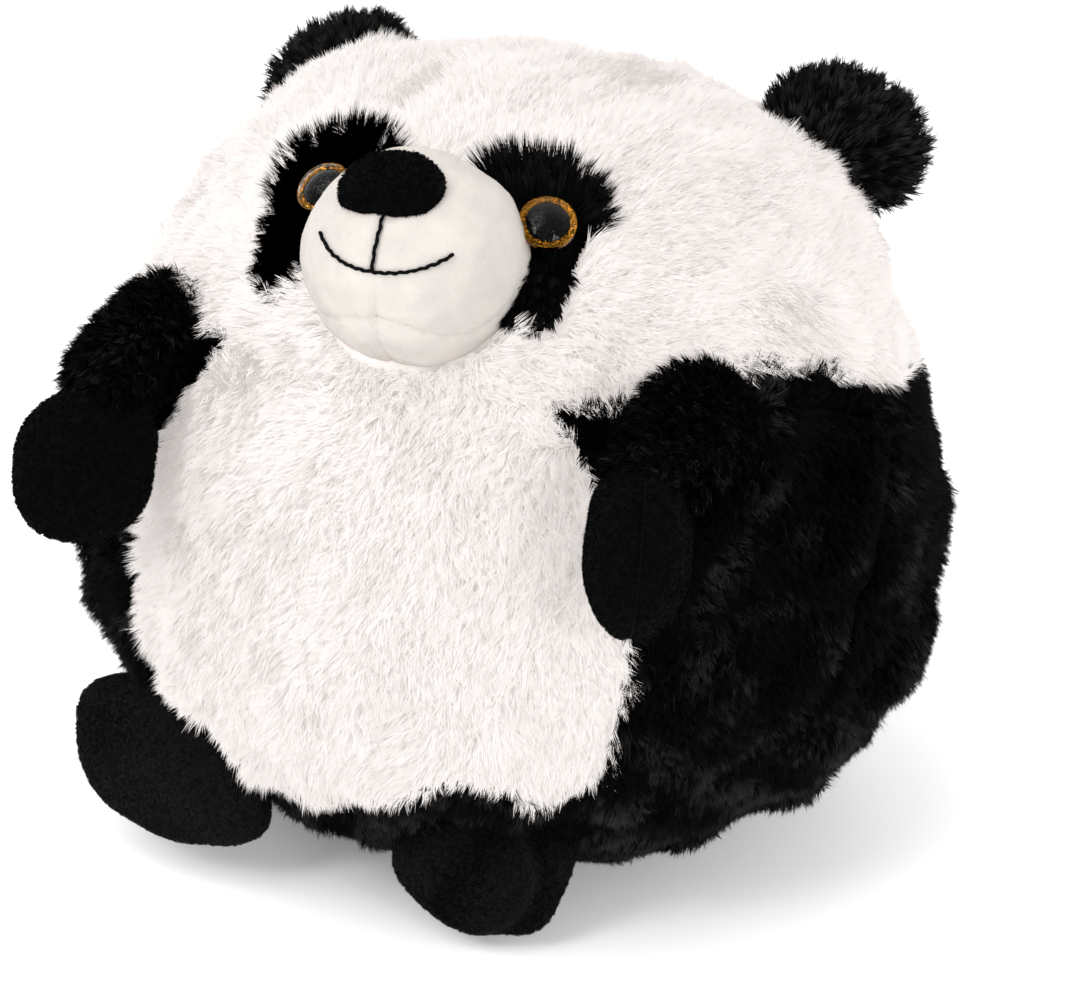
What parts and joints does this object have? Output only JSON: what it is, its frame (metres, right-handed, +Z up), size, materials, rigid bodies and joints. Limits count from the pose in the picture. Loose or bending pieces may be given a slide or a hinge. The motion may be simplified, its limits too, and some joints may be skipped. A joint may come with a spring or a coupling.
{
  "type": "plush panda",
  "caption": "Round plush panda cushion with a hand warmer tunnel through its sides, a sewn-on muzzle, glitter eyes and soft ears, arms and feet that flex.",
  "frame": {"origin": "centre of the flat base on the floor", "axes": "+Z up, -Y out of the panda's face, +X towards the panda's left"},
  "size_m": [0.313, 0.3303, 0.274],
  "materials": {
    "white_plush": "long soft pile, matt, with warm grey shadow between the tufts",
    "black_plush": "long soft pile, matt with a faint sheen",
    "eye_patch_plush": "longer straight pile that stands up in points",
    "muzzle_velour": "very short soft pile",
    "black_velour": "short velour pile",
    "lining": "short soft pile",
    "filling": "loose polyester fibre",
    "thread": "twisted sewing thread",
    "iris": "gold glitter under clear plastic",
    "pupil": "polished black",
    "eye_clear": "clear polished plastic dome",
    "washer": "moulded"
  },
  "bodies": {
    "body": {"body_stuffing": "filling", "hand_lining": "lining", "head_front": "white_plush", "head_back": "white_plush", "belly_panel": "white_plush", "side_panel_left": "black_plush", "side_panel_right": "black_plush", "back_panel_left": "black_plush", "back_panel_right": "black_plush", "base_panel": "black_plush", "muzzle_upper_left": "muzzle_velour", "muzzle_upper_right": "muzzle_velour", "muzzle_chin_left": "muzzle_velour", "muzzle_chin_right": "muzzle_velour", "muzzle_stuffing": "filling", "nose_cover": "black_velour", "nose_padding": "filling", "mouth_stitches": "thread", "closing_stitches": "thread", "eye_patch_left": "eye_patch_plush", "eye_patch_right": "eye_patch_plush", "eye_iris_left": "iris", "eye_iris_right": "iris", "eye_pupil_left": "pupil", "eye_pupil_right": "pupil", "eye_lens_left": "eye_clear", "eye_lens_right": "eye_clear", "eye_washer_left": "washer", "eye_washer_right": "washer"},
    "ear_left": {"ear_left_front": "black_plush", "ear_left_back": "black_plush"},
    "ear_right": {"ear_right_front": "black_plush", "ear_right_back": "black_plush"},
    "arm_left": {"sleeve_left": "black_plush", "paw_inner_left": "black_velour", "paw_outer_left": "black_velour", "arm_stuffing_left": "filling"},
    "arm_right": {"sleeve_right": "black_plush", "paw_inner_right": "black_velour", "paw_outer_right": "black_velour", "arm_stuffing_right": "filling"},
    "foot_left": {"foot_top_left": "black_velour", "foot_sole_left": "black_velour", "foot_stuffing_left": "filling"},
    "foot_right": {"foot_top_right": "black_velour", "foot_sole_right": "black_velour", "foot_stuffing_right": "filling"}
  },
  "joints": [
    {"name": "ear_left_fold", "type": "hinge", "parent": "body", "child": "ear_left", "pos_m": [0.0932, 0.04265, 0.24363], "axis": [0.8594, -0.1699, -0.4822], "range_deg": [-10, 35], "stiffness_Nm_per_rad": 0.03},
    {"name": "ear_right_fold", "type": "hinge", "parent": "body", "child": "ear_right", "pos_m": [-0.0932, 0.04265, 0.24363], "axis": [0.8594, 0.1699, 0.4822], "range_deg": [-10, 35], "stiffness_Nm_per_rad": 0.03},
    {"name": "arm_left_lift", "type": "hinge", "parent": "body", "child": "arm_left", "pos_m": [0.097, -0.109, 0.185], "axis": [-1, 0, 0], "range_deg": [0, 60], "stiffness_Nm_per_rad": 0.05},
    {"name": "arm_right_lift", "type": "hinge", "parent": "body", "child": "arm_right", "pos_m": [-0.097, -0.109, 0.185], "axis": [-1, 0, 0], "range_deg": [0, 60], "stiffness_Nm_per_rad": 0.05},
    {"name": "foot_left_flex", "type": "hinge", "parent": "body", "child": "foot_left", "pos_m": [0.041, -0.124, 0.026], "axis": [-0.9511, -0.309, 0], "range_deg": [-20, 25], "stiffness_Nm_per_rad": 0.05},
    {"name": "foot_right_flex", "type": "hinge", "parent": "body", "child": "foot_right", "pos_m": [-0.07, -0.122, 0.04], "axis": [-0.9491, 0.2017, 0.2419], "range_deg": [-20, 25], "stiffness_Nm_per_rad": 0.05}
  ]
}
